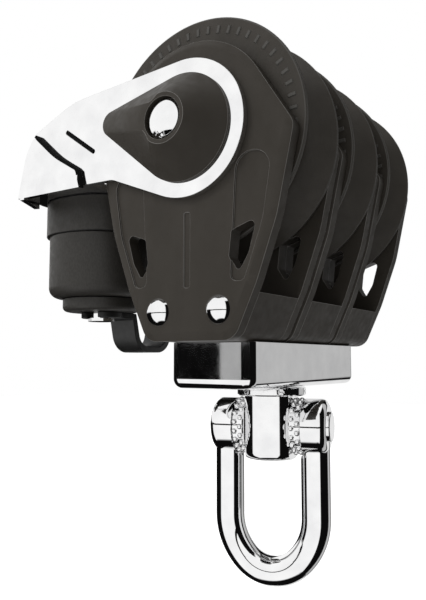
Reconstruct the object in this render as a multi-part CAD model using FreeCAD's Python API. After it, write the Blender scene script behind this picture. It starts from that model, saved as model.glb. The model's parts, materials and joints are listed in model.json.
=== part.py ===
import FreeCAD, Part
import math
import os

# Triple ball-bearing sheave block with a swivel shackle and a cam cleat on two side arms.
# Millimetres. The sheaves turn about the Y axis, the shackle hangs along -Z, the cleat is
# toward -X. The origin is the centre of the middle sheave, on the axle's line.

Vector = FreeCAD.Vector

# ---- driving dimensions ----------------------------------------------------------------
SHEAVE_R = 29.2            # outside radius of the rope wheel's flanges
PITCH = 27.4               # width of one sheave module, and the distance between sheaves
CHEEK_T = 4.0              # thickness of one side plate
SIDE_GAP = 0.6             # air between a sheave and the side plate beside it
MODULES = (-1, 0, 1)       # front, middle and rear module, counted from the middle

CHAMBER = PITCH - 2 * CHEEK_T            # clear width between the two cheeks of a module
SHEAVE_W = CHAMBER - 2 * SIDE_GAP
HALF_W = 1.5 * PITCH                     # outer face of the outermost cheek

CHEEK_TOP_R = 21.9         # round top of the cheek, about the axle
CHEEK_BOTTOM = -50.4       # flat underside of the cheeks and base blocks
BASE_TOP = -39.6           # top of the base blocks, under the sheaves
BEVEL_IN = 2.0             # width of the cheek's bevelled rim
BEVEL_T = 0.9              # how deep that bevel goes into the cheek

AXLE_R = 5.0
RACE_R = 9.0               # inner race, outside radius
BORE_R = 13.1              # sheave bore, the outer race
BALL_R = 1.9
BALLS_PER_ROW = 16
BALL_ROW_Y = 4.6           # distance of each ball row from the sheave's middle

TIE_X, TIE_Z = 8.6, -43.4  # the two tie bolts through the base blocks
TIE_R = 2.0

ARM_T = 1.8                # side arm sheet
RING_R = 16.8              # outside of the arm's ring
TEAR_R = 12.8              # big end of the teardrop opening
TEAR_TIP = (-21.7, 5.2)    # centre of its small end, x and z
TEAR_TIP_R = 3.0
HUB_HEIGHT = 9.95          # hub cap above the cheek's face
SCREW_HEAD_R = 4.25

TRAY_T = 1.6               # cleat tray sheet
TRAY_Z = -8.2              # underside of the tray floor
TRAY_INNER_X = -33.0
TRAY_WALL_X = -55.0        # outboard end of the tray's side walls
TRAY_NOSE_X = -62.6        # outboard end of the tray's floor
TRAY_HALF = HALF_W + ARM_T + TRAY_T

CLEAT_X = -47.4            # line of the two cam pivots
CAM_Y = 19.0               # half the spacing of the cleat's two bolts
CLEAT_BASE_X, CLEAT_BASE_Y = 16.2, 34.4  # half the base plate's width and length
CLEAT_BASE_CORNER_R = 14.0
CLEAT_BASE_BOTTOM = -18.6
CAM_TOP, CAM_BOTTOM = -18.8, -36.6
CAM_BACK_R = 15.6          # round back of each cam
CAM_JAW_R = 17.6           # toothed face on the line between the pivots, cams closed
CAM_SPIRAL = 0.478         # how fast the toothed face draws in, per radian
CAM_TEETH = 10
CAP_R = 11.5
CAP_TOP, CAP_BOTTOM = -36.9, -40.5
BUSH_R = 4.1
CAM_BOLT_R = 2.5

LEAD_W = 9.4               # fairlead strap, width along X
LEAD_T = 1.9
LEAD_BOTTOM = -52.4
LEAD_TOP_Y = 9.8           # half spacing of the strap's legs where they leave the feet
LEAD_LOW_Y = 6.9           # and at the bottom of the loop
LEAD_BEND_R = 4.5          # inside radius of the loop's two lower bends

YOKE_HALF_X = 12.0
YOKE_HALF_Y = 31.8
YOKE_BOTTOM = -61.9
YOKE_T = 2.2
HANGER_Y = 22.0            # the two hanger plates inside the yoke
HANGER_T = 2.5

SWIVEL_TURN = 13.0         # degrees the swivel stands turned about Z at rest
STUD_R = 4.0
COLLAR_R = 9.6
COLLAR_TOP, COLLAR_BOTTOM = -62.2, -64.6
POST_R = 8.2
POST_FLAT = 6.2            # flats of the post, where the washers bear
POST_BOTTOM = -82.0
PIN_Z = -73.0
PIN_R = 3.0
BOW_R = 12.3               # half the distance between the shackle bow's legs, middle to middle
CROWN_R = 10.5             # bend of the rod's middle at the bottom of the bow
CROWN_TURN = 45.0          # degrees each side of the bottom that keep this bend
ROD_R = 4.0
BOW_BOTTOM = -116.6
EYE_R = 7.6
EYE_IN, EYE_OUT = 9.7, 16.2    # inner and outer face of each eye, from the post's middle
FIT = 0.05                 # radial clearance of a running fit


# ---- helpers ---------------------------------------------------------------------------
def outline(corners, point):
    """Closed wire through (a, b, radius) corners. point(a, b) puts a corner in space."""
    count = len(corners)
    spots = []
    for i in range(count):
        a, b, radius = corners[i]
        here = Vector(a, b, 0)
        before = Vector(corners[i - 1][0], corners[i - 1][1], 0) - here
        after = Vector(corners[(i + 1) % count][0], corners[(i + 1) % count][1], 0) - here
        before.normalize()
        after.normalize()
        if radius == 0:
            spots.append((here, None, here))
            continue
        half = before.getAngle(after) / 2
        reach = radius / math.tan(half)
        middle = before + after
        middle.normalize()
        centre = here + middle * (radius / math.sin(half))
        top = centre - middle * radius
        spots.append((here + before * reach, top, here + after * reach))
    edges = []
    for i in range(count):
        start, top, end = spots[i]
        if top is not None:
            edges.append(Part.Arc(point(start.x, start.y), point(top.x, top.y),
                                  point(end.x, end.y)).toShape())
        following = spots[(i + 1) % count][0]
        if (following - end).Length > 1e-6:
            edges.append(Part.makeLine(point(end.x, end.y), point(following.x, following.y)))
    return Part.Wire(edges)


def upright(y):
    """Corner placer for an outline in the XZ plane at this y."""
    return lambda a, b: Vector(a, y, b)


def level(z):
    """Corner placer for an outline in the XY plane at this z."""
    return lambda a, b: Vector(a, b, z)


def sideways(x):
    """Corner placer for an outline in the YZ plane at this x."""
    return lambda a, b: Vector(x, a, b)


def plate_y(corners, y0, y1):
    return Part.Face(outline(corners, upright(y0))).extrude(Vector(0, y1 - y0, 0))


def plate_z(corners, z0, z1):
    return Part.Face(outline(corners, level(z0))).extrude(Vector(0, 0, z1 - z0))


def rod_x(radius, x0, x1, y, z):
    return Part.makeCylinder(radius, x1 - x0, Vector(x0, y, z), Vector(1, 0, 0))


def rod_y(radius, y0, y1, x=0.0, z=0.0):
    return Part.makeCylinder(radius, y1 - y0, Vector(x, y0, z), Vector(0, 1, 0))


def rod_z(radius, z0, z1, x=0.0, y=0.0):
    return Part.makeCylinder(radius, z1 - z0, Vector(x, y, z0), Vector(0, 0, 1))


def dome_y(radius, height, y, out, x, z):
    """Low button head: base at y, rising by height toward out, which is +1 or -1."""
    ball_r = (radius ** 2 + height ** 2) / (2 * height)
    ball = Part.makeSphere(ball_r, Vector(x, y + out * (height - ball_r), z))
    low, high = sorted((y, y + out * height))
    return ball.common(rod_y(radius, low, high, x, z))


def hexagon(radius, corner_r, z0, z1):
    """Six-sided prism about the Z axis; radius goes to its sharp corners."""
    turns = [math.radians(60 * i) for i in range(6)]
    return plate_z([(radius * math.cos(t), radius * math.sin(t), corner_r) for t in turns], z0, z1)


def mirrored(pairs):
    """Corners of a right half, followed by the same corners mirrored in x."""
    return pairs + [(-a, b, r) for a, b, r in reversed(pairs)]


def flip(shape):
    """The same shape on the other side of the block, mirrored in y."""
    return shape.mirror(Vector(0, 0, 0), Vector(0, 1, 0))


def tangent_hull(big_r, tip_r, y):
    """Wire in the XZ plane round a circle at the axle and a smaller one at the tip."""
    dx, dz = TEAR_TIP
    span = math.hypot(dx, dz)
    along = math.atan2(dz, dx)
    spread = math.acos((big_r - tip_r) / span)
    up, down = along - spread, along + spread

    def on(cx, cz, radius, angle):
        return Vector(cx + radius * math.cos(angle), y, cz + radius * math.sin(angle))

    a, b = on(0, 0, big_r, up), on(dx, dz, tip_r, up)
    c, d = on(dx, dz, tip_r, down), on(0, 0, big_r, down)
    tip = on(dx, dz, tip_r, along)
    back = on(0, 0, big_r, along + math.pi)
    return Part.Wire([Part.Arc(d, back, a).toShape(), Part.makeLine(a, b),
                      Part.Arc(b, tip, c).toShape(), Part.makeLine(c, d)])


def turned(shape):
    """Turn a swivel piece to its rest angle."""
    done = shape.copy()
    done.rotate(Vector(0, 0, 0), Vector(0, 0, 1), SWIVEL_TURN)
    return done


NODES = {}


def keep(name, *solids):
    NODES[name] = solids[0] if len(solids) == 1 else Part.makeCompound(list(solids))


# ---- cheeks and base blocks ------------------------------------------------------------
SHOULDER_TILT = math.radians(32.25)       # normal of the straight flank below the round top
CHEEK_HALF = [(0, CHEEK_TOP_R / math.sin(SHOULDER_TILT), CHEEK_TOP_R), (27.9, -3.2, 3.5),
              (23.6, -23.0, 30.0), (18.4, -37.5, 30.0), (12.5, CHEEK_BOTTOM, 4.5)]
CHEEK = CHEEK_HALF + [(-a, b, r) for a, b, r in reversed(CHEEK_HALF[1:])]
SLOT = [(18.8, -23.2, 1.2), (12.4, -25.4, 1.2), (11.7, -31.6, 1.2), (14.0, -35.2, 0.8),
        (16.6, -31.0, 4.0)]
PANEL = [(13.6, -8.0, 4.2), (23.0, -8.0, 4.2), (20.4, -24.0, 20.0), (15.6, -37.2, 1.6),
         (12.0, -37.2, 1.6)]
PANEL_DEPTH = 0.5
GROOVE = [(-0.9, -20.0, 0.6), (0.9, -20.0, 0.6), (0.9, -38.0, 0.6), (-0.9, -38.0, 0.6)]
GROOVE_DEPTH = 0.3


def mirror_x(corners):
    return [(-a, b, r) for a, b, r in reversed(corners)]


def cheek(outer_y, inward):
    """Side plate: outer face at outer_y, its thickness growing toward inward (+1 or -1)."""
    bevel_y = outer_y + inward * BEVEL_T
    inner_y = outer_y + inward * CHEEK_T
    full = outline(CHEEK, upright(bevel_y))
    rim = Part.Face(outline(CHEEK, upright(outer_y))).makeOffset2D(-BEVEL_IN).OuterWire
    body = Part.Face(full).extrude(Vector(0, inner_y - bevel_y, 0))
    body = body.fuse(Part.makeLoft([full, rim], True, True))
    low, high = outer_y - CHEEK_T, outer_y + CHEEK_T
    for corners in (SLOT, mirror_x(SLOT)):
        body = body.cut(plate_y(corners, low, high))
    for corners in (PANEL, mirror_x(PANEL)):
        body = body.cut(plate_y(corners, outer_y - PANEL_DEPTH, outer_y + PANEL_DEPTH))
    body = body.cut(plate_y(GROOVE, outer_y - GROOVE_DEPTH, outer_y + GROOVE_DEPTH))
    body = body.cut(rod_y(AXLE_R, low, high))
    for side in (-1, 1):
        body = body.cut(rod_y(TIE_R, low, high, side * TIE_X, TIE_Z))
    return body.removeSplitter()


def base_block(middle):
    low, high = middle - CHAMBER / 2, middle + CHAMBER / 2
    block = Part.Face(outline(CHEEK, upright(low))).extrude(Vector(0, CHAMBER, 0))
    block = block.common(Part.makeBox(60, CHAMBER, BASE_TOP - CHEEK_BOTTOM + 1,
                                      Vector(-30, low, CHEEK_BOTTOM - 1)))
    for side in (-1, 1):
        block = block.cut(rod_y(TIE_R, low, high, side * TIE_X, TIE_Z))
    return block


def hanger_corners():
    foot = YOKE_HALF_X - YOKE_T
    return mirrored([(foot, YOKE_BOTTOM + YOKE_T, 0), (foot, CHEEK_BOTTOM + 1.0, 0.8),
                     (TIE_X + 4.2, CHEEK_BOTTOM + 3.4, 1.0), (TIE_X + 4.2, BASE_TOP - 0.1, 3.0)])


def hanger(middle):
    y0, y1 = middle - HANGER_T / 2, middle + HANGER_T / 2
    plate = plate_y(hanger_corners(), y0, y1)
    for side in (-1, 1):
        plate = plate.cut(rod_y(TIE_R, y0, y1, side * TIE_X, TIE_Z))
    return plate


HANGERS = {"hanger_front": hanger(-HANGER_Y), "hanger_rear": hanger(HANGER_Y)}
for name, plate in HANGERS.items():
    keep(name, plate)

for number, step in enumerate(MODULES, 1):
    centre = step * PITCH
    keep("cheek_%d_front" % number, cheek(centre - PITCH / 2, 1))
    keep("cheek_%d_rear" % number, cheek(centre + PITCH / 2, -1))
    block = base_block(centre)
    for plate in HANGERS.values():
        block = block.cut(plate)
    keep("base_block_%d" % number, block)


# ---- axle, bearings and sheaves --------------------------------------------------------
GROOVE_R = 22.6            # bottom of the rope groove
GROOVE_FLAT = 2.2          # half width of the groove's bottom
FLANGE_T = 1.3             # flange thickness at its rim
DISH_IN, DISH_OUT = 15.2, 20.6           # shallow dish turned into each face of the sheave
DISH_DEPTH = 0.9


def revolved(profile, middle):
    """Ring about the axle from a closed list of (radius, y) points."""
    points = [Vector(r, middle + y, 0) for r, y in profile]
    wire = Part.makePolygon(points + points[:1])
    return Part.Face(wire).revolve(Vector(0, 0, 0), Vector(0, 1, 0), 360)


def sheave(middle):
    half = SHEAVE_W / 2
    lip = half - FLANGE_T
    right = [(BORE_R, half), (DISH_IN, half), (DISH_IN + 0.6, half - DISH_DEPTH),
             (DISH_OUT - 0.6, half - DISH_DEPTH), (DISH_OUT, half), (SHEAVE_R - 0.3, half),
             (SHEAVE_R, half - 0.3), (SHEAVE_R, lip + 0.3), (SHEAVE_R - 0.4, lip),
             (GROOVE_R + 2.2, GROOVE_FLAT + 2.2), (GROOVE_R + 0.5, GROOVE_FLAT + 0.9),
             (GROOVE_R, GROOVE_FLAT)]
    left = [(r, -y) for r, y in reversed(right)]
    return revolved(right + left, middle)


def inner_race(middle):
    half = CHAMBER / 2
    lip = half - SIDE_GAP + 0.3
    lip_r = BORE_R - 0.7
    profile = [(AXLE_R, -half), (lip_r, -half), (lip_r, -lip), (RACE_R, -lip + 0.6),
               (RACE_R, lip - 0.6), (lip_r, lip), (lip_r, half), (AXLE_R, half)]
    return revolved(profile, middle)


def ball_rows(middle):
    ring_r = (RACE_R + BORE_R) / 2
    balls = []
    for row in (-1, 1):
        for i in range(BALLS_PER_ROW):
            turn = 2 * math.pi * (i + 0.25 * row) / BALLS_PER_ROW
            spot = Vector(ring_r * math.cos(turn), middle + row * BALL_ROW_Y,
                          ring_r * math.sin(turn))
            balls.append(Part.makeSphere(BALL_R, spot))
    return balls


for number, step in enumerate(MODULES, 1):
    keep("sheave_%d" % number, sheave(step * PITCH))
    keep("inner_race_%d" % number, inner_race(step * PITCH))
    keep("balls_%d" % number, *ball_rows(step * PITCH))

SCREW_DEPTH = 14.0         # how far each axle screw reaches into the axle
SCREW_R = 2.5
axle = rod_y(AXLE_R, -HALF_W, HALF_W)
for end in (-HALF_W, HALF_W - SCREW_DEPTH):
    axle = axle.cut(rod_y(SCREW_R, end, end + SCREW_DEPTH))
keep("axle", axle)

HEAD_SEAT = HUB_HEIGHT - 2.1
HEAD_EDGE = 1.5            # straight rim of the screw head below its dome
NOTCH_R, NOTCH_TURN = 0.6, 250           # spanner notch, and its angle from +X toward +Z


def axle_screw():
    """Front axle screw, with a spanner notch in its head."""
    seat = -HALF_W - HEAD_SEAT
    screw = rod_y(SCREW_R, seat, -HALF_W + SCREW_DEPTH)
    screw = screw.fuse(rod_y(SCREW_HEAD_R, seat - HEAD_EDGE, seat))
    screw = screw.fuse(dome_y(SCREW_HEAD_R, 0.7, seat - HEAD_EDGE, -1, 0, 0))
    x = SCREW_HEAD_R * math.cos(math.radians(NOTCH_TURN))
    z = SCREW_HEAD_R * math.sin(math.radians(NOTCH_TURN))
    return screw.cut(rod_y(NOTCH_R, seat - 4, seat - 0.4, x, z))


keep("axle_screws", axle_screw(), flip(axle_screw()))

# ---- tie bolts through the base blocks ---------------------------------------------------
TIE_HEAD_R = 3.4
TIE_HEAD_H = 1.9


def tie_bolt(side):
    x = side * TIE_X
    shank = rod_y(TIE_R, -HALF_W, HALF_W, x, TIE_Z)
    return shank.fuse(dome_y(TIE_HEAD_R, TIE_HEAD_H, -HALF_W, -1, x, TIE_Z))


def tie_nut(side):
    x = side * TIE_X
    nut = dome_y(TIE_HEAD_R, TIE_HEAD_H, HALF_W, 1, x, TIE_Z)
    return nut.cut(rod_y(0.8, HALF_W + 1.0, HALF_W + 3, x, TIE_Z))


keep("tie_bolts", tie_bolt(-1), tie_bolt(1))
keep("tie_nuts", tie_nut(-1), tie_nut(1))

# ---- side arms and hub caps --------------------------------------------------------------
def on_ring(turn):
    """Point of the ring's outside at this angle from +X toward +Z, as a sharp corner."""
    return (RING_R * math.cos(math.radians(turn)), RING_R * math.sin(math.radians(turn)), 0)


TAIL_TOP_TURN, TAIL_LOW_TURN = 94.0, 248.2       # where the tail's edges leave the ring
ARM_TAIL = [(0, 0, 0), on_ring(TAIL_TOP_TURN), (-36.4, 14.3, 25.0), (-51.2, 8.2, 1.0),
            (-51.2, TRAY_Z + TRAY_T, 2.0), (TRAY_INNER_X + 0.2, TRAY_Z + TRAY_T, 0),
            (TRAY_INNER_X + 0.2, -9.1, 0.6), (-22.3, -9.2, 6.0), on_ring(TAIL_LOW_TURN)]
CREASE_FROM, CREASE_TO = (-38.6, 6.3), (-28.9, -0.6)    # slot across the root of the tail
CREASE_HALF = 0.55


def slot_corners(start, end, half):
    """Round-ended slot between two points, half wide each side of the line."""
    run_a, run_b = end[0] - start[0], end[1] - start[1]
    length = math.hypot(run_a, run_b)
    along_a, along_b = half * run_a / length, half * run_b / length
    return [(start[0] - along_a - along_b, start[1] - along_b + along_a, half),
            (start[0] - along_a + along_b, start[1] - along_b - along_a, half),
            (end[0] + along_a + along_b, end[1] + along_b - along_a, half),
            (end[0] + along_a - along_b, end[1] + along_b + along_a, half)]


def arm():
    """Front arm: a ring round the hub with a tail that reaches out to the tray."""
    y0, y1 = -HALF_W - ARM_T, -HALF_W
    body = rod_y(RING_R, y0, y1).fuse(plate_y(ARM_TAIL, y0, y1))
    tear = Part.Face(tangent_hull(TEAR_R, TEAR_TIP_R, y0)).extrude(Vector(0, ARM_T, 0))
    slot = plate_y(slot_corners(CREASE_FROM, CREASE_TO, CREASE_HALF), y0, y1)
    return body.cut(tear).cut(slot).removeSplitter()


HUB_GAP = 0.15             # hub cap's plug inside the arm's teardrop
HUB_LIP = 0.3              # its lip outside the teardrop, which holds the arm down
HUB_RIM_R = 6.0
COUNTERBORE_R = 5.0


def hub_cap():
    face = -HALF_W
    lip_y = face - ARM_T
    cone_y = lip_y - 0.7
    top_y = face - HUB_HEIGHT
    plug = Part.Face(tangent_hull(TEAR_R - HUB_GAP, TEAR_TIP_R - HUB_GAP, face))
    cap = plug.extrude(Vector(0, -ARM_T, 0))
    lip = Part.Face(tangent_hull(TEAR_R + HUB_LIP, TEAR_TIP_R + HUB_LIP, lip_y))
    cap = cap.fuse(lip.extrude(Vector(0, cone_y - lip_y, 0)))
    foot = tangent_hull(TEAR_R + HUB_LIP, TEAR_TIP_R + HUB_LIP, cone_y)
    cap = cap.fuse(Part.makeLoft([foot, rim_outline(top_y)], True, True))
    cap = cap.cut(rod_y(COUNTERBORE_R, top_y - 1, face - HEAD_SEAT))
    return cap.cut(rod_y(SCREW_R, top_y - 1, face + 1))


def rim_outline(y):
    """Nearly round top edge of the hub cap, with the same four edges as its foot."""
    along = math.atan2(TEAR_TIP[1], TEAR_TIP[0])
    span = math.hypot(*TEAR_TIP)
    spread = math.acos((TEAR_R - TEAR_TIP_R) / span)
    reach, tip_r = 2.2, 4.2
    corners = []
    for angle in (along - spread, along + spread):
        n = Vector(math.cos(angle), 0, math.sin(angle))
        middle = Vector(reach * math.cos(along), y, reach * math.sin(along))
        corners.append((Vector(0, y, 0) + n * HUB_RIM_R, middle + n * tip_r))
    (a, b), (d, c) = corners
    tip = Vector((reach + tip_r) * math.cos(along), y, (reach + tip_r) * math.sin(along))
    back = Vector(-HUB_RIM_R * math.cos(along), y, -HUB_RIM_R * math.sin(along))
    return Part.Wire([Part.Arc(d, back, a).toShape(), Part.makeLine(a, b),
                      Part.Arc(b, tip, c).toShape(), Part.makeLine(c, d)])


keep("arm_front", arm())
keep("arm_rear", flip(arm()))
keep("hub_cap_front", hub_cap())
keep("hub_cap_rear", flip(hub_cap()))

# ---- cleat tray --------------------------------------------------------------------------
WALL_DROP = 1.7            # side wall's lower edge, below the floor's underside
WALL = [(-49.9, 6.6, 0.8), (-52.9, 2.4, 12.0), (TRAY_WALL_X - 0.9, TRAY_Z - WALL_DROP, 0),
        (TRAY_INNER_X + 0.6, TRAY_Z - WALL_DROP, 0), (-33.8, -5.2, 1.5), (-41.8, -0.5, 30.0)]
LIP_H = 2.2


def cleat_tray():
    """Folded sheet: a floor under the arms, a side wall outside each arm, corner lips."""
    inner, outer = HALF_W + ARM_T, TRAY_HALF
    floor = plate_z([(TRAY_INNER_X, -outer, 0), (TRAY_WALL_X, -outer, 0),
                     (TRAY_NOSE_X, -30.0, 14.0), (TRAY_NOSE_X, 30.0, 14.0),
                     (TRAY_WALL_X, outer, 0), (TRAY_INNER_X, outer, 0)],
                    TRAY_Z, TRAY_Z + TRAY_T)
    wall = plate_y(WALL, -outer, -inner)
    lip = plate_z([(TRAY_WALL_X, -outer, 0), (-60.1, -34.8, 0), (-58.6, -34.2, 0),
                   (TRAY_WALL_X + 1.6, -outer, 0)], TRAY_Z - LIP_H, TRAY_Z)
    body = floor.fuse([wall, flip(wall), lip, flip(lip)]).removeSplitter()
    for side in (-1, 1):
        body = body.cut(rod_z(CAM_BOLT_R, TRAY_Z - 1, 0, CLEAT_X, side * CAM_Y))
    return body


keep("cleat_tray", cleat_tray())


# ---- cam cleat ---------------------------------------------------------------------------
def cleat_base():
    z0, z1 = CLEAT_BASE_BOTTOM, TRAY_Z
    x0, x1 = CLEAT_X - CLEAT_BASE_X, CLEAT_X + CLEAT_BASE_X
    body = plate_z([(x0, -CLEAT_BASE_Y, CLEAT_BASE_CORNER_R), (x0, CLEAT_BASE_Y, CLEAT_BASE_CORNER_R),
                    (x1, CLEAT_BASE_Y, CLEAT_BASE_CORNER_R),
                    (x1, -CLEAT_BASE_Y, CLEAT_BASE_CORNER_R)], z0, z1)
    for side in (-1, 1):
        body = body.cut(rod_z(CAM_BOLT_R, z0, z1, CLEAT_X, side * CAM_Y))
    return body


def jaw_point(angle, radius, y):
    """Point of the front cam. The angle runs from +Y toward +X, about its pivot."""
    return (CLEAT_X + radius * math.sin(angle), y + radius * math.cos(angle))


def jaw_corners(y):
    """Toothed face of the front cam: a spiral that draws in toward the sheaves."""
    start, end = math.radians(-4), math.radians(50)
    pitch = (end - start) / CAM_TEETH
    corners = [(CLEAT_X, y, 0), jaw_point(math.radians(JAW_FROM), CAM_BACK_R, y) + (0,)]
    for i in range(CAM_TEETH):
        crest = start + i * pitch
        valley = crest + 0.7 * pitch
        crest_r = CAM_JAW_R * math.exp(-CAM_SPIRAL * max(crest, 0))
        valley_r = CAM_JAW_R * math.exp(-CAM_SPIRAL * max(valley, 0)) - 0.9
        corners.append(jaw_point(crest, crest_r, y) + (0,))
        corners.append(jaw_point(valley, valley_r, y) + (0,))
    corners.append(jaw_point(math.radians(JAW_TO), CAM_BACK_R, y) + (0,))
    return corners


def lower_rims(shape, z):
    """Round edges of the shape that lie at height z."""
    return [e for e in shape.Edges if abs(e.BoundBox.ZMax - z) < 1e-3 and e.BoundBox.XLength > 1]


SPRING_R, SPRING_WIRE = 6.3, 0.5
POCKET_DEPTH = 5.6
POCKET_HALF = 1.1          # half width of the ring-shaped pocket round the spring's wire
JAW_FROM, JAW_TO = -40, 76               # degrees of the cam that the jaw takes up
ROLL_R = 3.0               # rolled lower edge of the cam's back
JAW_CHAMFER = 4.6          # and the sloped lower edge of its jaw


def cam():
    """Front cam: round back with a rolled lower edge, and the toothed jaw."""
    y, middle = -CAM_Y, (CAM_TOP + CAM_BOTTOM) / 2
    clear = 2 * CAM_JAW_R
    jaw = plate_z(jaw_corners(y), CAM_BOTTOM, CAM_TOP)
    wedge = [(CLEAT_X, y, 0)]
    for angle in (JAW_FROM, (JAW_FROM + JAW_TO) / 2, JAW_TO):
        wedge.append(jaw_point(math.radians(angle), clear, y) + (0,))
    drum = rod_z(CAM_BACK_R, CAM_BOTTOM, CAM_TOP, CLEAT_X, y)
    body = drum.cut(plate_z(wedge, CAM_BOTTOM - 1, CAM_TOP + 1)).fuse(jaw)
    mould = rod_z(CAM_JAW_R + 2, CAM_BOTTOM, CAM_TOP, CLEAT_X, y)
    body = body.common(mould.makeChamfer(JAW_CHAMFER, lower_rims(mould, CAM_BOTTOM)))
    low = rod_z(CAM_BACK_R, CAM_BOTTOM, middle, CLEAT_X, y)
    low = low.makeFillet(ROLL_R, lower_rims(low, CAM_BOTTOM))
    tall = rod_z(CAM_JAW_R + 2, middle, CAM_TOP, CLEAT_X, y)
    body = body.common(low.fuse(tall).fuse(jaw))
    body = body.cut(rod_z(BUSH_R + FIT, CAM_BOTTOM - 1, CAM_TOP + 1, CLEAT_X, y))
    pocket = rod_z(SPRING_R + POCKET_HALF, CAM_TOP - POCKET_DEPTH, CAM_TOP + 1, CLEAT_X, y)
    core = rod_z(SPRING_R - POCKET_HALF, CAM_BOTTOM, CAM_TOP + 2, CLEAT_X, y)
    return body.cut(pocket.cut(core)).removeSplitter()


def torsion_spring(y):
    """Three and a quarter turns of wire round the bush of the cam at this y."""
    pitch, turns = 1.3, 3.25
    coil = Part.makeLongHelix(pitch, pitch * turns, SPRING_R)
    wire = Part.Wire(coil.Edges)
    section = Part.Wire([Part.makeCircle(SPRING_WIRE, Vector(SPRING_R, 0, 0),
                                         Vector(0, 1, 0))])
    spring = wire.makePipeShell([section], True, True)
    spring.translate(Vector(CLEAT_X, y, CAM_TOP - POCKET_DEPTH + 0.8))
    return spring


def cam_bush():
    tube = rod_z(BUSH_R, CAP_TOP, CLEAT_BASE_BOTTOM, CLEAT_X, -CAM_Y)
    return tube.cut(rod_z(CAM_BOLT_R, CAP_TOP, CLEAT_BASE_BOTTOM, CLEAT_X, -CAM_Y))


def cam_cap():
    disc = rod_z(CAP_R, CAP_BOTTOM, CAP_TOP, CLEAT_X, -CAM_Y)
    disc = disc.makeFillet(1.4, lower_rims(disc, CAP_BOTTOM))
    return disc.cut(rod_z(CAM_BOLT_R, CAP_BOTTOM, CAP_TOP, CLEAT_X, -CAM_Y))


BOLT_HEAD_R = 3.1
BOLT_FLANGE_R = 4.0
LEAD_FOOT_BOTTOM = CAP_BOTTOM - LEAD_T
NUT_H = 3.8
NUT_R = 4.6                # across the corners, halved
FOOT_R = 6.0               # round end of each fairlead foot


def cam_bolt():
    """Shouldered bolt: its head sits in the fairlead's fork, its flange holds the fork."""
    top = TRAY_Z + TRAY_T + NUT_H + 0.6
    bolt = rod_z(CAM_BOLT_R, CAP_BOTTOM, top, CLEAT_X, -CAM_Y)
    bolt = bolt.fuse(rod_z(BOLT_HEAD_R, LEAD_FOOT_BOTTOM, CAP_BOTTOM, CLEAT_X, -CAM_Y))
    flange = rod_z(BOLT_FLANGE_R, LEAD_FOOT_BOTTOM - 0.9, LEAD_FOOT_BOTTOM, CLEAT_X, -CAM_Y)
    return bolt.fuse(flange)


def cam_nut():
    z0 = TRAY_Z + TRAY_T
    nut = hexagon(NUT_R, 0, z0, z0 + NUT_H)
    nut.translate(Vector(CLEAT_X, -CAM_Y, 0))
    return nut.cut(rod_z(CAM_BOLT_R, z0, z0 + NUT_H, CLEAT_X, -CAM_Y))


def fairlead():
    """Strap loop under the rope's way, with a forked foot under each cam cap."""
    z0, z1 = LEAD_FOOT_BOTTOM, CAP_BOTTOM
    half = LEAD_T / 2
    outer_y, inner_y, inner_z = LEAD_LOW_Y + half, LEAD_LOW_Y - half, LEAD_BOTTOM + LEAD_T
    outer = [(-LEAD_TOP_Y - half, z1 + 1, 0), (-outer_y, LEAD_BOTTOM, LEAD_BEND_R + LEAD_T),
             (outer_y, LEAD_BOTTOM, LEAD_BEND_R + LEAD_T), (LEAD_TOP_Y + half, z1 + 1, 0)]
    inner = [(-LEAD_TOP_Y + half, z1 + 2, 0), (-inner_y, inner_z, LEAD_BEND_R),
             (inner_y, inner_z, LEAD_BEND_R), (LEAD_TOP_Y - half, z1 + 2, 0)]
    place, along = sideways(CLEAT_X - LEAD_W / 2), Vector(LEAD_W, 0, 0)
    body = Part.Face(outline(outer, place)).extrude(along)
    body = body.cut(Part.Face(outline(inner, place)).extrude(along))
    body = body.common(Part.makeBox(LEAD_W, 4 * LEAD_TOP_Y, z1 - LEAD_BOTTOM,
                                    Vector(CLEAT_X - LEAD_W / 2, -2 * LEAD_TOP_Y, LEAD_BOTTOM)))
    for side in (-1, 1):
        y = side * CAM_Y
        eye = rod_z(FOOT_R, z0, z1, CLEAT_X, y)
        low, high = sorted((y, side * (LEAD_TOP_Y - half)))
        web = Part.makeBox(LEAD_W, high - low, z1 - z0, Vector(CLEAT_X - LEAD_W / 2, low, z0))
        body = body.fuse([eye, web])
    for side in (-1, 1):
        y = side * CAM_Y
        body = body.cut(rod_z(BOLT_HEAD_R, z0, z1, CLEAT_X, y))
        low, high = sorted((y, y + side * (FOOT_R + 1)))
        body = body.cut(Part.makeBox(2 * BOLT_HEAD_R, high - low, z1 - z0,
                                     Vector(CLEAT_X - BOLT_HEAD_R, low, z0)))
    return body.removeSplitter()


keep("cleat_base", cleat_base())
keep("cam_front", cam())
keep("cam_rear", flip(cam()))
keep("cam_spring_front", torsion_spring(-CAM_Y))
keep("cam_spring_rear", torsion_spring(CAM_Y))
keep("cam_bushes", cam_bush(), flip(cam_bush()))
keep("cam_cap_front", cam_cap())
keep("cam_cap_rear", flip(cam_cap()))
keep("cam_bolts", cam_bolt(), flip(cam_bolt()))
keep("cam_nuts", cam_nut(), flip(cam_nut()))
keep("fairlead", fairlead())

# ---- yoke --------------------------------------------------------------------------------
YOKE_CORNER_R = 2.8
YOKE_EDGE_R = 2.4
BUSH_WALL = 1.0


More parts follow.
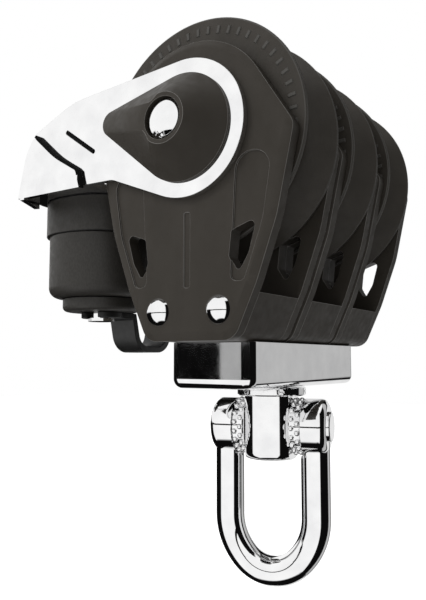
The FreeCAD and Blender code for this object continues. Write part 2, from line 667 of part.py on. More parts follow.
def yoke():
    """Pressed tub under the base blocks, open at the top, with the swivel's hole below."""
    corners = [(-YOKE_HALF_X, -YOKE_HALF_Y, YOKE_CORNER_R), (YOKE_HALF_X, -YOKE_HALF_Y, YOKE_CORNER_R),
               (YOKE_HALF_X, YOKE_HALF_Y, YOKE_CORNER_R), (-YOKE_HALF_X, YOKE_HALF_Y, YOKE_CORNER_R)]
    tub = plate_z(corners, YOKE_BOTTOM, CHEEK_BOTTOM)
    rims = [e for e in tub.Edges if abs(e.BoundBox.ZMax - YOKE_BOTTOM) < 1e-3]
    tub = tub.makeFillet(YOKE_EDGE_R, rims)
    inner_r = YOKE_CORNER_R - YOKE_T
    inner = []
    for x, y, _ in corners:
        inner.append((x - math.copysign(YOKE_T, x), y - math.copysign(YOKE_T, y), inner_r))
    tub = tub.cut(plate_z(inner, YOKE_BOTTOM + YOKE_T, CHEEK_BOTTOM + 1))
    return tub.cut(rod_z(STUD_R + BUSH_WALL, YOKE_BOTTOM - 1, YOKE_BOTTOM + 4))


def swivel_bush():
    ring = rod_z(STUD_R + BUSH_WALL, YOKE_BOTTOM, YOKE_BOTTOM + YOKE_T)
    return ring.cut(rod_z(STUD_R + FIT, YOKE_BOTTOM, YOKE_BOTTOM + YOKE_T))


keep("yoke", yoke())
keep("swivel_bush", swivel_bush())

# ---- swivel ------------------------------------------------------------------------------
THRUST_BALL_R = 1.4
THRUST_RING_R = 6.7
THRUST_BALLS = 11
THRUST_GAP = 0.12
NUT_BOTTOM = YOKE_BOTTOM + YOKE_T + 2 * THRUST_BALL_R + 2 * THRUST_GAP
SWIVEL_NUT_H = 4.0


def swivel_post():
    """Stud and eye in one: the stud runs up through the yoke, the eye takes the pin."""
    stud = rod_z(STUD_R, COLLAR_BOTTOM - 1, NUT_BOTTOM + SWIVEL_NUT_H + 0.6)
    body = rod_z(POST_R, POST_BOTTOM, COLLAR_BOTTOM)
    body = body.makeFillet(2.0, lower_rims(body, POST_BOTTOM))
    body = body.common(Part.makeBox(2 * POST_FLAT, 40, 40, Vector(-POST_FLAT, -20, -90)))
    body = body.fuse(stud)
    return body.cut(rod_x(PIN_R + FIT, -POST_FLAT - 1, POST_FLAT + 1, 0, PIN_Z))


def radial_rod(turn, radius, from_r, to_r):
    """Rod pointing out of the collar at this angle."""
    out = Vector(math.cos(math.radians(turn)), math.sin(math.radians(turn)), 0)
    start = out * from_r + Vector(0, 0, (COLLAR_TOP + COLLAR_BOTTOM) / 2)
    return Part.makeCylinder(radius, to_r - from_r, start, out)


SPANNER_HOLE_R, SPANNER_HOLE_DEPTH = 0.75, 1.6
SET_SCREW_TURN = 240
SET_SCREW_R, SET_SCREW_END_R = 0.9, 8.2
SOCKET_R, SOCKET_FROM_R = 0.45, 7.0


def swivel_collar():
    """Collar with spanner holes and a hole for its set screw."""
    ring = rod_z(COLLAR_R, COLLAR_BOTTOM, COLLAR_TOP)
    rims = [e for e in ring.Edges if e.BoundBox.ZLength < 1e-3 and e.BoundBox.XLength > 1]
    ring = ring.makeChamfer(0.35, rims)
    ring = ring.cut(rod_z(STUD_R, COLLAR_BOTTOM, COLLAR_TOP))
    for turn in range(SET_SCREW_TURN - 300, SET_SCREW_TURN, 60):
        ring = ring.cut(radial_rod(turn, SPANNER_HOLE_R, COLLAR_R - SPANNER_HOLE_DEPTH, COLLAR_R + 1))
    return ring.cut(radial_rod(SET_SCREW_TURN, SET_SCREW_R, STUD_R, COLLAR_R + 1))


def collar_set_screw():
    screw = radial_rod(SET_SCREW_TURN, SET_SCREW_R, STUD_R, SET_SCREW_END_R)
    return screw.cut(radial_rod(SET_SCREW_TURN, SOCKET_R, SOCKET_FROM_R, SET_SCREW_END_R))


FLANGE_R, FLANGE_H = 8.3, 1.4
SWIVEL_HEX_R = 7.0


def swivel_nut():
    """Flanged nut on the stud: the flange runs on the thrust balls."""
    ring = rod_z(FLANGE_R, NUT_BOTTOM, NUT_BOTTOM + FLANGE_H)
    nut = ring.fuse(hexagon(SWIVEL_HEX_R, 0.6, NUT_BOTTOM + FLANGE_H, NUT_BOTTOM + SWIVEL_NUT_H))
    return nut.cut(rod_z(STUD_R, NUT_BOTTOM, NUT_BOTTOM + SWIVEL_NUT_H))


def thrust_balls():
    z = YOKE_BOTTOM + YOKE_T + THRUST_BALL_R + THRUST_GAP
    balls = []
    for i in range(THRUST_BALLS):
        turn = 2 * math.pi * i / THRUST_BALLS
        spot = Vector(THRUST_RING_R * math.cos(turn), THRUST_RING_R * math.sin(turn), z)
        balls.append(Part.makeSphere(THRUST_BALL_R, spot))
    return balls


keep("swivel_post", turned(swivel_post()))
keep("swivel_collar", turned(swivel_collar()))
keep("collar_set_screw", turned(collar_set_screw()))
keep("swivel_nut", turned(swivel_nut()))
keep("thrust_balls", *thrust_balls())

# ---- shackle -----------------------------------------------------------------------------
WASHER_IN, WASHER_OUT = 6.35, 9.6
WASHER_R = 7.35
BEAD_R = 0.65
BEAD_INSET = 0.2
BEADS = 20
PIN_HEAD_OUT = 17.0
SPOT_GAP = 0.15            # between a washer and its seat in the bow
LEG_TOP = PIN_Z - 2


def bow_path():
    """Middle of the rod: leg, easy bend, tight bend at the bottom, easy bend, leg."""
    turn = math.radians(CROWN_TURN)
    easy_r = (BOW_R - CROWN_R * math.sin(turn)) / (1 - math.sin(turn))
    crown_z = BOW_BOTTOM + ROD_R + CROWN_R
    easy_z = crown_z + (easy_r - CROWN_R) * math.cos(turn)
    side = math.radians(90 + CROWN_TURN) / 2                   # middle of the easy bend
    leg = Vector(BOW_R, 0, easy_z)
    easy = Vector(BOW_R - easy_r + easy_r * math.sin(side), 0, easy_z - easy_r * math.cos(side))
    join = Vector(CROWN_R * math.sin(turn), 0, crown_z - CROWN_R * math.cos(turn))
    crown = Vector(0, 0, crown_z - CROWN_R)
    top = Vector(BOW_R, 0, LEG_TOP)

    def other(point):
        return Vector(-point.x, 0, point.z)

    return Part.Wire([Part.makeLine(other(top), other(leg)),
                      Part.Arc(other(leg), other(easy), other(join)).toShape(),
                      Part.Arc(other(join), crown, join).toShape(),
                      Part.Arc(join, easy, leg).toShape(),
                      Part.makeLine(leg, top)])


def shackle_bow():
    """Round rod bent into a bow, with a forged eye at the end of each leg."""
    section = Part.Wire([Part.makeCircle(ROD_R, Vector(-BOW_R, 0, LEG_TOP), Vector(0, 0, 1))])
    body = bow_path().makePipeShell([section], True, False)
    for side in (-1, 1):
        outer_x = side * EYE_OUT
        low, high = sorted((side * EYE_IN, outer_x))
        eye = rod_x(EYE_R, low, high, 0, PIN_Z)
        rims = [e for e in eye.Edges
                if e.BoundBox.XLength < 1e-3 and abs(e.BoundBox.XMax - outer_x) < 1e-3]
        body = body.fuse(eye.makeFillet(2.2, rims))
    body = body.cut(rod_x(PIN_R, -2 * EYE_OUT, 2 * EYE_OUT, 0, PIN_Z))
    seat = rod_x(WASHER_R + BEAD_R + SPOT_GAP, -EYE_IN, EYE_IN, 0, PIN_Z)
    return body.cut(seat).removeSplitter()


def shackle_pin():
    pin = rod_x(PIN_R, -EYE_OUT, EYE_OUT, 0, PIN_Z)
    for side in (-1, 1):
        low, high = sorted((side * EYE_OUT, side * PIN_HEAD_OUT))
        head = rod_x(4.2, low, high, 0, PIN_Z)
        rims = [e for e in head.Edges if e.BoundBox.XLength < 1e-3
                and abs(e.BoundBox.XMax - side * PIN_HEAD_OUT) < 1e-3]
        pin = pin.fuse(head.makeFillet(0.5, rims))
    return pin


def beaded_washer():
    """Right-hand washer, with a row of round knurls along its rim."""
    washer = rod_x(WASHER_R, WASHER_IN, WASHER_OUT, 0, PIN_Z)
    knurls = []
    for i in range(BEADS):
        turn = 2 * math.pi * i / BEADS
        knurls.append(rod_x(BEAD_R, WASHER_IN + BEAD_INSET, WASHER_OUT - BEAD_INSET,
                            WASHER_R * math.cos(turn), PIN_Z + WASHER_R * math.sin(turn)))
    return washer.fuse(knurls).cut(rod_x(PIN_R, WASHER_IN, WASHER_OUT, 0, PIN_Z))


washer = beaded_washer()
keep("shackle_bow", turned(shackle_bow()))
keep("shackle_pin", turned(shackle_pin()))
keep("washer_right", turned(washer))
keep("washer_left", turned(washer.mirror(Vector(0, 0, 0), Vector(1, 0, 0))))

# ---- write -------------------------------------------------------------------------------
os.makedirs("parts", exist_ok=True)
whole = FreeCAD.BoundBox()
for name, shape in NODES.items():
    for solid in shape.Solids:
        if not solid.isValid():
            print("not valid:", name)
    shape.exportStep("parts/%s.step" % name)
    whole.add(shape.BoundBox)
    print("%-18s solids %2d  volume %9.1f mm3" % (name, len(shape.Solids), shape.Volume))
print("nodes", len(NODES))
print("size %.1f x %.1f x %.1f mm" % (whole.XLength, whole.YLength, whole.ZLength))
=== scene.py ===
import json
import math

import bmesh
import bpy
from mathutils import Matrix, Vector


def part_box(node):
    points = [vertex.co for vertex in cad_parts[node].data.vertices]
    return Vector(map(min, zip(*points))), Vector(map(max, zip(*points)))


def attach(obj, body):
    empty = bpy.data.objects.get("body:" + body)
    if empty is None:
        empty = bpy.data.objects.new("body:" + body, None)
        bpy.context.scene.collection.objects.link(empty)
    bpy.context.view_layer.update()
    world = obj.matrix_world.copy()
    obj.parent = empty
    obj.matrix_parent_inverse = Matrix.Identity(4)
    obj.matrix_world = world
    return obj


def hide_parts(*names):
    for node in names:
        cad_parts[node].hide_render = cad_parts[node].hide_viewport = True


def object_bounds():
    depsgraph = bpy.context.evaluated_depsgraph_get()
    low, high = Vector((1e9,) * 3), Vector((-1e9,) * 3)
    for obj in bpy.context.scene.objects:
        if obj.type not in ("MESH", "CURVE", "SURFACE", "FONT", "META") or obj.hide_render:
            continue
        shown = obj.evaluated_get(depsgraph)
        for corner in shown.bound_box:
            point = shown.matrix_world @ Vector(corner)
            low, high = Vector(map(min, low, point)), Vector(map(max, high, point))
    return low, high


# Looks of the triple sheave block: a polished steel and black nylon block with a cam cleat.
# Metres. The frame is the CAD model's own: origin at the middle sheave's centre, +Z up,
# the sheaves' axle along Y, the cleat toward -X and the shackle below.

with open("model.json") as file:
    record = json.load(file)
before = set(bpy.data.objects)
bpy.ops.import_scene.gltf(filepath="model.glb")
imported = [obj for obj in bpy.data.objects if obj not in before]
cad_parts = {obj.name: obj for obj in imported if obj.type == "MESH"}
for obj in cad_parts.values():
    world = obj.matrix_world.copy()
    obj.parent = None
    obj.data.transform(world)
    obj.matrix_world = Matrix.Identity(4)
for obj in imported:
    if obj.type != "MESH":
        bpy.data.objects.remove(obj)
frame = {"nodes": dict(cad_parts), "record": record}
CAD_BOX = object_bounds()
NODES = frame["nodes"]
BODY_OF = {n: b for b, ns in frame["record"]["behaviour"]["bodies"].items() for n in ns}
SLOT_OF = {s["node"]: s["material_slot"] for s in frame["record"]["subparts"]}
MM = 0.001
COLLECTION = bpy.context.scene.collection


# ---- procedural materials --------------------------------------------------------------------
PATTERN_LOW, PATTERN_HIGH = 0.3, 0.7       # most of a pattern's values lie between these
WAVE_PERIOD = math.pi / 10                 # from ring to ring, in a ring pattern of scale 1


class Look:
    """A material with one Principled shader, whose patterns lie in the object's own space."""

    def __init__(self, name, **sockets):
        self.material = bpy.data.materials.new(name)
        self.material.use_nodes = True
        self.tree = self.material.node_tree
        self.shader = self.tree.nodes["Principled BSDF"]
        for socket, value in sockets.items():
            self.shader.inputs[socket.replace("_", " ")].default_value = value
        self.place = self.node("ShaderNodeTexCoord").outputs["Object"]
        self.normal = None

    def node(self, kind, **settings):
        made = self.tree.nodes.new(kind)
        for key, value in settings.items():
            setattr(made, key, value)
        return made

    def link(self, source, target):
        self.tree.links.new(source, target)

    def stretched(self, stretch):
        """The object's coordinates, squeezed so that a pattern is drawn out along some axes."""
        scale = self.node("ShaderNodeMapping")
        scale.inputs["Scale"].default_value = stretch
        self.link(self.place, scale.inputs["Vector"])
        return scale.outputs["Vector"]

    def noise(self, size, detail=3.0, stretch=(1, 1, 1)):
        """Cloudy pattern whose lumps are about size metres across."""
        made = self.node("ShaderNodeTexNoise")
        made.inputs["Scale"].default_value = 1 / size
        made.inputs["Detail"].default_value = detail
        self.link(self.stretched(stretch), made.inputs["Vector"])
        return made.outputs["Fac"]

    def flecks(self, size, stretch=(1, 1, 1)):
        """Cells of random grey, for chopped fibres and grain."""
        made = self.node("ShaderNodeTexVoronoi")
        made.inputs["Scale"].default_value = 1 / size
        self.link(self.stretched(stretch), made.inputs["Vector"])
        return made.outputs["Distance"]

    def rings(self, spacing, axis):
        """Turning marks: rings round an axis through the origin, a spacing apart."""
        made = self.node("ShaderNodeTexWave", wave_type="RINGS", rings_direction=axis)
        made.inputs["Scale"].default_value = WAVE_PERIOD / spacing
        made.inputs["Distortion"].default_value = 0.4
        made.inputs["Detail Scale"].default_value = 200.0
        self.link(self.place, made.inputs["Vector"])
        return made.outputs["Fac"]

    def spread(self, value, low, high):
        """A pattern's value, mapped to run from low to high."""
        made = self.node("ShaderNodeMapRange")
        for key, number in (("From Min", PATTERN_LOW), ("From Max", PATTERN_HIGH),
                            ("To Min", low), ("To Max", high)):
            made.inputs[key].default_value = number
        self.link(value, made.inputs["Value"])
        return made.outputs["Result"]

    def tint(self, value, dark, light):
        """Base colour that goes from dark to light with the pattern."""
        mix = self.node("ShaderNodeMix", data_type="RGBA")
        self.link(self.spread(value, 0, 1), mix.inputs["Factor"])
        mix.inputs["A"].default_value = (*dark, 1)
        mix.inputs["B"].default_value = (*light, 1)
        self.link(mix.outputs["Result"], self.shader.inputs["Base Color"])
        return self

    def rough(self, value, low, high):
        """Roughness that goes from low to high with the pattern."""
        self.link(self.spread(value, low, high), self.shader.inputs["Roughness"])
        return self

    def relief(self, value, depth, strength=1.0):
        """Raise the surface by up to depth metres where the pattern is high."""
        made = self.node("ShaderNodeBump")
        made.inputs["Distance"].default_value = depth
        made.inputs["Strength"].default_value = strength
        self.link(value, made.inputs["Height"])
        if self.normal is not None:
            self.link(self.normal, made.inputs["Normal"])
        self.normal = made.outputs["Normal"]
        self.link(self.normal, self.shader.inputs["Normal"])
        return self


def nylon(name, dark, light, low=0.42, high=0.6):
    """Moulded glass-filled nylon: warm charcoal, faint flow streaks, fine spark-eroded grain."""
    look = Look(name, IOR=1.5, Specular_IOR_Level=0.2)
    look.tint(look.noise(9 * MM, 5.0, (1, 1, 0.35)), dark, light)
    look.rough(look.noise(2.2 * MM, 4.0), low, high)
    look.relief(look.noise(0.28 * MM, 2.0), 0.02 * MM, 0.5)
    return look.relief(look.noise(5 * MM, 2.0), 0.03 * MM, 0.3)


def resin():
    """Sheave: the same family of plastic with turning marks round the axle."""
    look = Look("sheave_resin", IOR=1.5, Specular_IOR_Level=0.22)
    look.tint(look.noise(7 * MM, 5.0), (0.035, 0.0305, 0.0247), (0.045, 0.0396, 0.0328))
    look.rough(look.noise(1.8 * MM, 4.0), 0.36, 0.52)
    look.relief(look.rings(0.32 * MM, "Y"), 0.012 * MM, 0.5)
    return look.relief(look.noise(0.3 * MM, 2.0), 0.015 * MM, 0.4)


def acetal():
    """Bearing ball or bush: white, slightly waxy plastic."""
    look = Look("ball_acetal", IOR=1.48, Specular_IOR_Level=0.5, Subsurface_Weight=0.15)
    look.shader.inputs["Subsurface Radius"].default_value = (0.6 * MM, 0.5 * MM, 0.4 * MM)
    look.tint(look.noise(3 * MM, 3.0), (0.74, 0.72, 0.66), (0.86, 0.84, 0.79))
    return look.rough(look.noise(1.5 * MM, 3.0), 0.18, 0.32)


def polished():
    """Mirror-polished stainless steel: faint cloudy smudges and hairline polishing marks."""
    look = Look("polished_steel", Metallic=1.0)
    look.tint(look.noise(6 * MM, 4.0), (0.80, 0.80, 0.805), (0.90, 0.90, 0.90))
    look.rough(look.noise(3.5 * MM, 5.0), 0.02, 0.06)
    look.relief(look.noise(0.5 * MM, 3.0, (0.08, 1, 1)), 0.004 * MM, 0.35)
    return look.relief(look.noise(14 * MM, 2.0), 0.03 * MM, 0.07)


def machined():
    """Turned or cut stainless steel, not polished afterwards."""
    look = Look("turned_steel", Metallic=1.0)
    look.tint(look.noise(2 * MM, 4.0), (0.50, 0.50, 0.50), (0.66, 0.66, 0.665))
    look.rough(look.noise(1.2 * MM, 4.0), 0.22, 0.38)
    look.relief(look.rings(0.25 * MM, "Y"), 0.01 * MM, 0.5)
    return look.relief(look.noise(0.25 * MM, 2.0), 0.006 * MM, 0.4)


def composite(name, dark, light):
    """Carbon-filled cleat plastic: fine drawn-out flecks in a satin skin."""
    look = Look(name, IOR=1.52, Specular_IOR_Level=0.35)
    look.tint(look.flecks(0.35 * MM, (1, 1, 0.4)), dark, light)
    look.rough(look.noise(1.6 * MM, 4.0), 0.42, 0.58)
    look.relief(look.flecks(0.3 * MM), 0.006 * MM, 0.3)
    return look.relief(look.noise(4 * MM, 2.0), 0.03 * MM, 0.3)


def black_coat():
    """Black coating over a steel strap, slightly orange-peeled."""
    look = Look("black_strap", Metallic=0.0, IOR=1.5, Coat_Weight=0.25, Coat_Roughness=0.3)
    look.tint(look.noise(2.5 * MM, 5.0), (0.008, 0.008, 0.008), (0.016, 0.016, 0.015))
    look.rough(look.noise(1.2 * MM, 4.0), 0.42, 0.58)
    return look.relief(look.noise(0.6 * MM, 3.0), 0.015 * MM, 0.4)


def painted_shadow_gap():
    """Painted shadow: near-black and dull, it stands in for the shade in a narrow gap between two
    sheets.
    """
    look = Look("painted_shadow_gap", IOR=1.45, Specular_IOR_Level=0.1)
    look.tint(look.noise(1.5 * MM, 4.0), (0.002, 0.002, 0.002), (0.005, 0.005, 0.005))
    look.rough(look.noise(0.8 * MM, 3.0), 0.75, 0.9)
    return look.relief(look.noise(0.3 * MM, 2.0), 0.02 * MM, 0.5)


def bright_edge():
    """Rounded edge of a polished sheet, buffed a little duller than its faces."""
    look = Look("buffed_edge", Metallic=1.0)
    look.tint(look.noise(2 * MM, 4.0), (0.70, 0.70, 0.70), (0.84, 0.84, 0.84))
    look.rough(look.noise(1.0 * MM, 4.0), 0.10, 0.22)
    return look.relief(look.noise(0.4 * MM, 3.0), 0.006 * MM, 0.4)


LOOKS = {
    "black_nylon": nylon("black_nylon", (0.033, 0.0284, 0.0226), (0.042, 0.0366, 0.0300)),
    "sheave_resin": resin(),
    "ball_acetal": acetal(),
    "polished_steel": polished(),
    "turned_steel": machined(),
    "cleat_composite": composite("cleat_composite", (0.026, 0.0238, 0.0205), (0.033, 0.0304, 0.0265)),
    "black_strap": black_coat(),
}
# Copies of the looks for the rounded edges. The nylon and resin copies are lighter: painted
# highlights along the rims. The composite copy is darker: painted shade. The polished steel's copy is
# its buffed edge finish.
EDGES = {
    "black_nylon": nylon("nylon_edge_highlight", (0.18, 0.172, 0.162), (0.26, 0.250, 0.236), 0.26, 0.38),
    "cleat_composite": composite("composite_edge_shade", (0.008, 0.0075, 0.007), (0.013, 0.0125, 0.0115)),
    "polished_steel": bright_edge(),
    "sheave_resin": nylon("resin_edge_highlight", (0.060, 0.057, 0.052), (0.085, 0.081, 0.074), 0.30, 0.42),
}
# Near-black look that paints the shade of the narrow gaps on the side arms.
SHADOW_GAP_LOOK = painted_shadow_gap()

for node, thing in NODES.items():
    thing.data.materials.clear()
    thing.data.materials.append(LOOKS[SLOT_OF[node]].material)


# ---- making pieces ---------------------------------------------------------------------------
SMOOTH_BELOW = math.radians(32)            # an edge that turns by less than this is a curve's own
ROUNDING_STEPS = 2
SAME_POINT = 1e-6                          # corners closer than this are one
SAME_PLANE = math.radians(0.4)             # faces that turn by less than this are one


def piece_from(name, mesh, body, slot, *replaced):
    """Finish a new piece: its body, its finish and the node it stands for."""
    piece = bpy.data.objects.new(name, mesh)
    COLLECTION.objects.link(piece)
    if not mesh.materials:
        mesh.materials.append(LOOKS[slot].material)
    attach(piece, body)
    if replaced:
        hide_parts(*replaced)
    return piece


def shaded(mesh):
    """Smooth shading, with the edges over SMOOTH_BELOW left sharp."""
    mesh.shade_smooth()
    mesh.set_sharp_from_angle(angle=SMOOTH_BELOW)
    return mesh


def rounded_off(name, mesh, width, edge_slot):
    """The mesh with every sharp edge rounded and flat faces kept flat in the shading."""
    shaded(mesh)
    raw = bpy.data.objects.new("raw", mesh)
    COLLECTION.objects.link(raw)
    rounding = raw.modifiers.new("rounding", "BEVEL")
    rounding.width = width
    rounding.segments = ROUNDING_STEPS
    rounding.limit_method = "ANGLE"
    rounding.angle_limit = SMOOTH_BELOW
    rounding.material = edge_slot
    normals = raw.modifiers.new("normals", "WEIGHTED_NORMAL")
    normals.keep_sharp = True
    bpy.context.view_layer.update()
    solid = raw.evaluated_get(bpy.context.evaluated_depsgraph_get())
    finished = bpy.data.meshes.new_from_object(solid)
    finished.name = name
    bpy.data.objects.remove(raw)
    return finished


def softened(node, width):
    """A CAD node's shape with every sharp edge rounded, in place of the node."""
    mesh = NODES[node].data.copy()
    shape = bmesh.new()
    shape.from_mesh(mesh)
    bmesh.ops.remove_doubles(shape, verts=shape.verts, dist=SAME_POINT)
    bmesh.ops.dissolve_limit(shape, angle_limit=SAME_PLANE, verts=shape.verts, edges=shape.edges)
    shape.to_mesh(mesh)
    shape.free()
    slot = SLOT_OF[node]
    edge_slot = -1                         # the rounding keeps its faces' own material
    # Rounded edges take their look's edge copy: painted highlight or shade for the plastics, the
    # buffed finish for polished steel.
    if slot in EDGES:
        mesh.materials.append(EDGES[slot].material)
        edge_slot = 1
    finished = rounded_off(node + "_finished", mesh, width, edge_slot)
    return piece_from(node + "_finished", finished, BODY_OF[node], slot, node)


SOFT_EDGES = {                             # the rounding's width in mm, and the nodes it is for
    0.30: ["cheek_%d_%s" % (n, s) for n in (1, 2, 3) for s in ("front", "rear")],
    0.35: ["cleat_base"],
    0.12: ["arm_front", "arm_rear", "cleat_tray"],
    0.25: ["hub_cap_front", "hub_cap_rear", "base_block_1", "base_block_2", "base_block_3",
           "cam_front", "cam_rear", "fairlead", "swivel_collar"],
    0.20: ["yoke"],
    0.15: ["axle_screws", "sheave_1", "sheave_2", "sheave_3", "cam_nuts", "swivel_nut"],
}
for width, names in SOFT_EDGES.items():
    for node in names:
        softened(node, width * MM)


# ---- painted shadow lines on the side arms -----------------------------------------------------
SHADOW_STRIP_RISE = 1.5 * MM                       # nearly as high as the tray's wall beside it
SHADOW_STRIP_SUNK = 0.1 * MM                       # the crease's painted shadow strip, below the arm's face
SHADOW_STRIP_EDGE = 0.1 * MM                       # bevel along a strip's long edges
CREASE = [(-38.3, 6.1, 0.5), (-29.2, -0.4, 0.5)]               # x, z and half width, in mm
FOLD = [(-49.6, 6.94, 0.42), (-43.64, 1.71, 0.42), (-41.45, -0.02, 0.42),
        (-39.12, -1.55, 0.42), (-34.6, -4.25, 0.40), (-33.5, -5.1, 0.28),
        (-33.15, -6.2, 0.16), (-32.2, -9.7, 0.16)]


def strip(shape, points, y_low, y_high):
    """Band along points of x, z and half width, with its outer long edges bevelled."""
    path = [Vector((x, z)) * MM for x, z, half in points]
    loops = []
    for k, (x, z, half) in enumerate(points):
        along = (path[min(k + 1, len(path) - 1)] - path[max(k - 1, 0)]).normalized()
        across = Vector((-along.y, along.x))
        half *= MM
        section = [(-half, y_high), (-half, y_low + SHADOW_STRIP_EDGE), (SHADOW_STRIP_EDGE - half, y_low),
                   (half - SHADOW_STRIP_EDGE, y_low), (half, y_low + SHADOW_STRIP_EDGE), (half, y_high)]
        loops.append([shape.verts.new((path[k].x + across.x * a, y, path[k].y + across.y * a))
                      for a, y in section])
    for here, following in zip(loops, loops[1:]):
        for k in range(len(here)):
            m = (k + 1) % len(here)
            shape.faces.new((here[k], here[m], following[m], following[k]))
    shape.faces.new(loops[0])
    shape.faces.new(list(reversed(loops[-1])))


def paint_arm_shadows(node, side):
    """Painted shadow: near-black strips in the arm's crease, and the shadow line where the tray's
    wall ends on it.
    """
    low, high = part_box(node)
    inner, outer = sorted((abs(low[1]), abs(high[1])))
    shape = bmesh.new()
    strip(shape, CREASE, SHADOW_STRIP_SUNK - outer, -inner)
    strip(shape, FOLD, -outer - SHADOW_STRIP_RISE, -outer)
    bmesh.ops.scale(shape, vec=(1, -side, 1), verts=shape.verts)
    bmesh.ops.recalc_face_normals(shape, faces=shape.faces)
    mesh = bpy.data.meshes.new(node + "_shadow_strips")
    shape.to_mesh(mesh)
    shape.free()
    mesh.materials.append(SHADOW_GAP_LOOK.material)
    return piece_from(node + "_shadow_strips", shaded(mesh), BODY_OF[node], "black_strap")


# Both arms get near-black strips that paint the shade in their creases and along the tray's walls.
paint_arm_shadows("arm_front", -1)
paint_arm_shadows("arm_rear", 1)


# ---- raised dashes round the sheaves' flanges --------------------------------------------------
DASHES = 54
DASH_FROM, DASH_TO = 25.0 * MM, 27.2 * MM        # radius of a dash's inner and outer end
DASH_HALF = 0.55 * MM
DASH_RISE = 0.22 * MM                            # its sides lean in by as much
DASH_FOOT = 0.05 * MM                            # sunk into the flange
BLOCK_FACES = [(0, 1, 2, 3), (7, 6, 5, 4), (0, 4, 5, 1), (1, 5, 6, 2), (2, 6, 7, 3), (3, 7, 4, 0)]


def dash_ring(node):
    """Plain raised dashes, evenly spaced round both faces of a sheave."""
    low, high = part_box(node)
    shape = bmesh.new()
    for face, out in ((low[1], -1), (high[1], 1)):
        for i in range(DASHES):
            turn = Matrix.Rotation(2 * math.pi * i / DASHES, 4, "Y")
            corners = []
            for y, inset in ((face - out * DASH_FOOT, 0), (face + out * DASH_RISE, DASH_RISE)):
                half, near, far = DASH_HALF - inset, DASH_FROM + inset, DASH_TO - inset
                corners += [(-half, y, near), (half, y, near), (half, y, far), (-half, y, far)]
            block = [shape.verts.new(turn @ Vector(corner)) for corner in corners]
            for ring in BLOCK_FACES:
                shape.faces.new([block[k] for k in ring])
    bmesh.ops.recalc_face_normals(shape, faces=shape.faces)
    mesh = bpy.data.meshes.new(node + "_dashes")
    shape.to_mesh(mesh)
    shape.free()
    # The dashes are drawn in the resin's lighter edge copy, the tint of its painted rim highlights.
    mesh.materials.append(EDGES["sheave_resin"].material)
    return piece_from(node + "_dashes", mesh, BODY_OF[node], "sheave_resin")


for node in ("sheave_1", "sheave_2", "sheave_3"):
    dash_ring(node)


# ---- beaded washers of the shackle -------------------------------------------------------------
SWING = next(j for j in frame["record"]["behaviour"]["joints"] if j["name"] == "shackle_swing")
PIN_Z = SWING["pos_m"][2]
PIN_TURN = math.atan2(SWING["axis"][1], SWING["axis"][0])    # the pin's turn from the X axis
BEADS = 18                                       # in each row
BEAD_R = 0.80 * MM
BEAD_GAP = 0.02 * MM                             # from a bead to the plane of the disc's face
DISC_R = 7.1 * MM
DISC_LIP = 0.3 * MM                              # bevel of the disc's rim
PIN_HOLE_R = 3.0 * MM
WASHER_IN, WASHER_OUT = 6.35 * MM, 9.6 * MM      # from the swivel's axis to the disc's faces
LATHE_STEPS = 96


def lathe(shape, profile):
    """Ring round the X axis, from the (x, radius) points of its section."""
    rings = []
    for i in range(LATHE_STEPS):
        turn = 2 * math.pi * i / LATHE_STEPS
        rings.append([shape.verts.new((x, r * math.cos(turn), r * math.sin(turn)))
                      for x, r in profile])
    for i in range(LATHE_STEPS):
        here, following = rings[i], rings[(i + 1) % LATHE_STEPS]
        for k in range(len(profile)):
            m = (k + 1) % len(profile)
            shape.faces.new((here[k], here[m], following[m], following[k]))


def beaded_washer(name, side):
    """Disc with two staggered rows of round beads on its rim."""
    shape = bmesh.new()
    lathe(shape, [(WASHER_IN, PIN_HOLE_R), (WASHER_IN, DISC_R - DISC_LIP),
                  (WASHER_IN + DISC_LIP, DISC_R), (WASHER_OUT - DISC_LIP, DISC_R),
                  (WASHER_OUT, DISC_R - DISC_LIP), (WASHER_OUT, PIN_HOLE_R)])
    for row, x in enumerate((WASHER_IN + BEAD_R + BEAD_GAP, WASHER_OUT - BEAD_R - BEAD_GAP)):
        for i in range(BEADS):
            turn = 2 * math.pi * (i + row / 2) / BEADS
            place = Matrix.Translation((x, DISC_R * math.cos(turn), DISC_R * math.sin(turn)))
            bmesh.ops.create_uvsphere(shape, u_segments=16, v_segments=10, radius=BEAD_R,
                                      matrix=place)
    bmesh.ops.recalc_face_normals(shape, faces=shape.faces)
    turned = Matrix.Rotation(PIN_TURN + (math.pi if side < 0 else 0), 4, "Z")
    bmesh.ops.transform(shape, matrix=Matrix.Translation((0, 0, PIN_Z)) @ turned,
                        verts=shape.verts)
    mesh = bpy.data.meshes.new(name + "_beads")
    shape.to_mesh(mesh)
    shape.free()
    return piece_from(name + "_beads", shaded(mesh), BODY_OF[name], SLOT_OF[name], name)


beaded_washer("washer_right", 1)
beaded_washer("washer_left", -1)


# ---- camera, light and floor -----------------------------------------------------------------
CAMERA_TURN = 0.5862       # radians round from -Y toward +X
CAMERA_TILT = 0.0908       # radians up from level
CAMERA_AT = Vector((0.09058, -0.16628, -0.05490))
FOCAL, SENSOR = 39.79, 36  # mm
FLOOR_SIZE = 12.0
FLOOR_DROP = 0.35          # from the shackle to the floor
FLOOR_GLOW = 0.55


def photographer():
    """The scene's camera."""
    data = bpy.data.cameras.new("camera")
    data.sensor_width = SENSOR
    data.lens = FOCAL
    data.clip_start = 0.005
    camera = bpy.data.objects.new("camera", data)
    COLLECTION.objects.link(camera)
    camera.location = CAMERA_AT
    camera.rotation_euler = (math.pi / 2 + CAMERA_TILT, 0, CAMERA_TURN)
    bpy.context.scene.camera = camera


